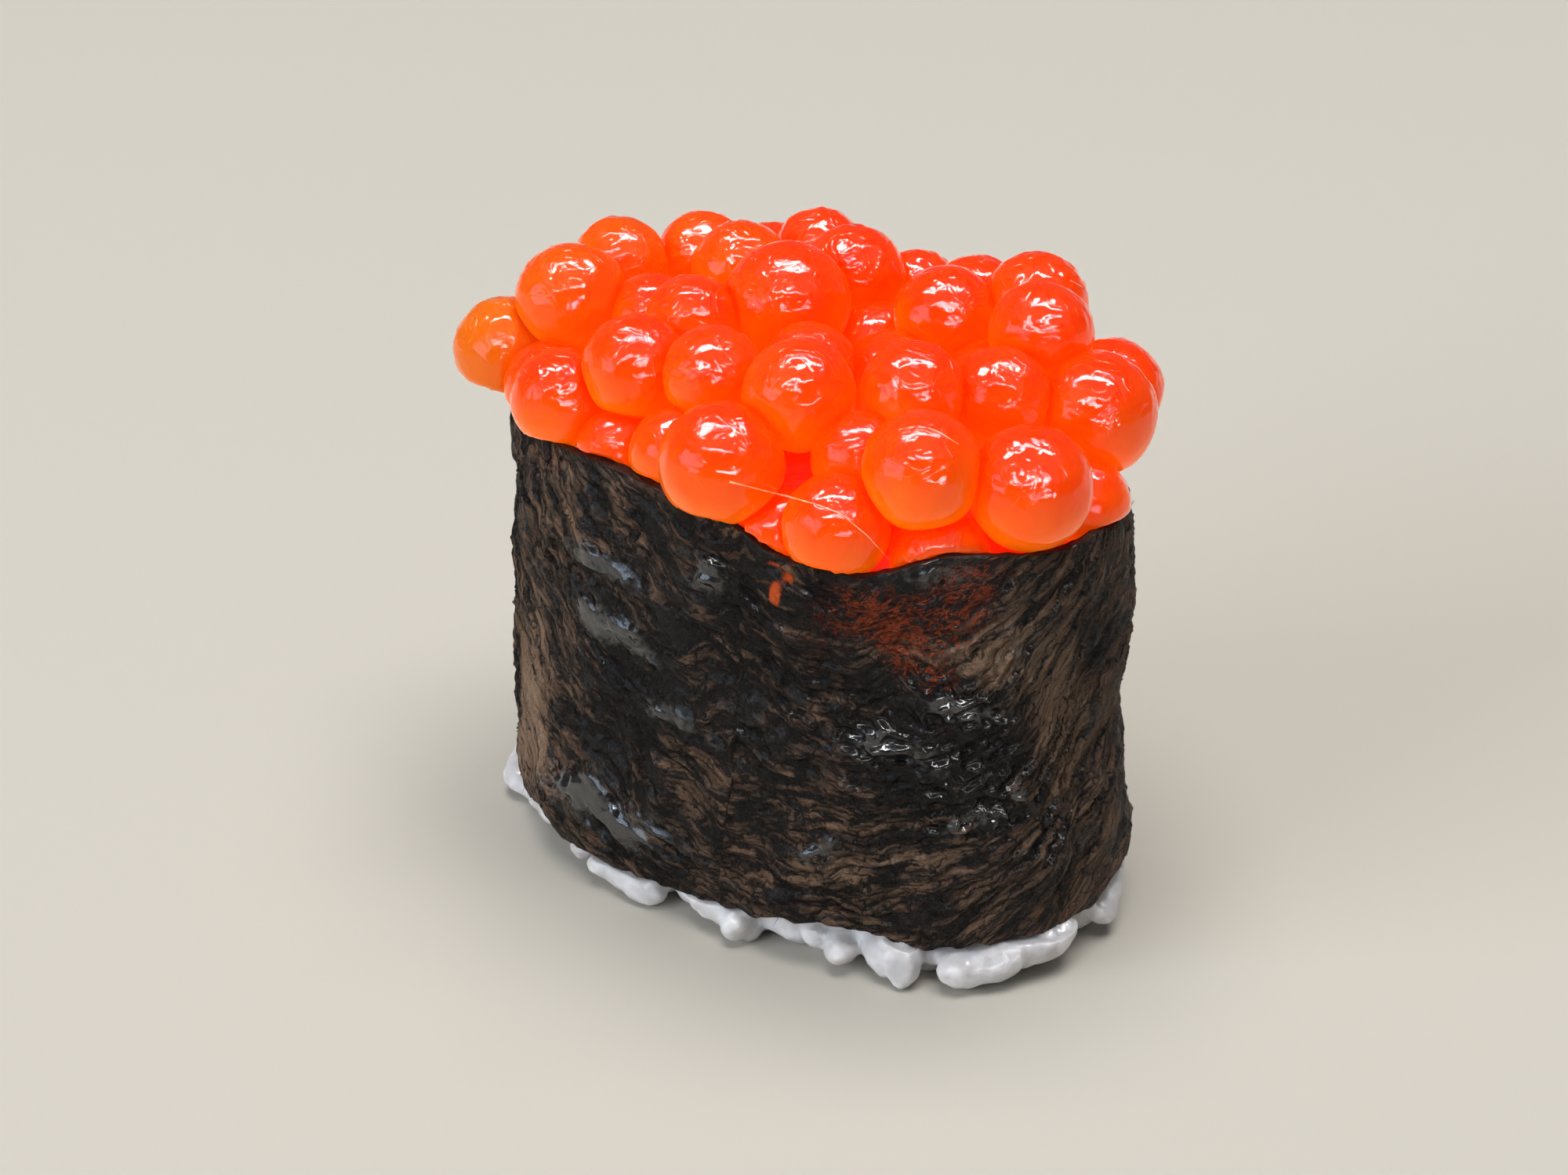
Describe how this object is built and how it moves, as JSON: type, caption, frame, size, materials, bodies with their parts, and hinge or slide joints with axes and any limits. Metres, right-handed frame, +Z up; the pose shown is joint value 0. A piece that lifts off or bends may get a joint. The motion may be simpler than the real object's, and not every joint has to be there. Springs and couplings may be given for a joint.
{
  "type": "gunkan sushi",
  "caption": "Gunkan sushi: an oval block of rice wrapped in a dark nori strip and heaped with glossy orange salmon roe.",
  "frame": {"origin": "centre of the oval foot, on the surface that the sushi stands on", "axes": "+X along the oval's long axis, +Z up, and the long side with the strip's lap faces -Y"},
  "size_m": [0.0528, 0.0355, 0.046],
  "materials": {
    "nori": "damp dark seaweed sheet, wrinkled and half glossy",
    "rice": "cooked white rice, slightly translucent and moist",
    "roe": "wet translucent orange fish eggs"
  },
  "bodies": {
    "root": {"nori": "nori", "rice": "rice", "roe": "roe"}
  },
  "joints": []
}
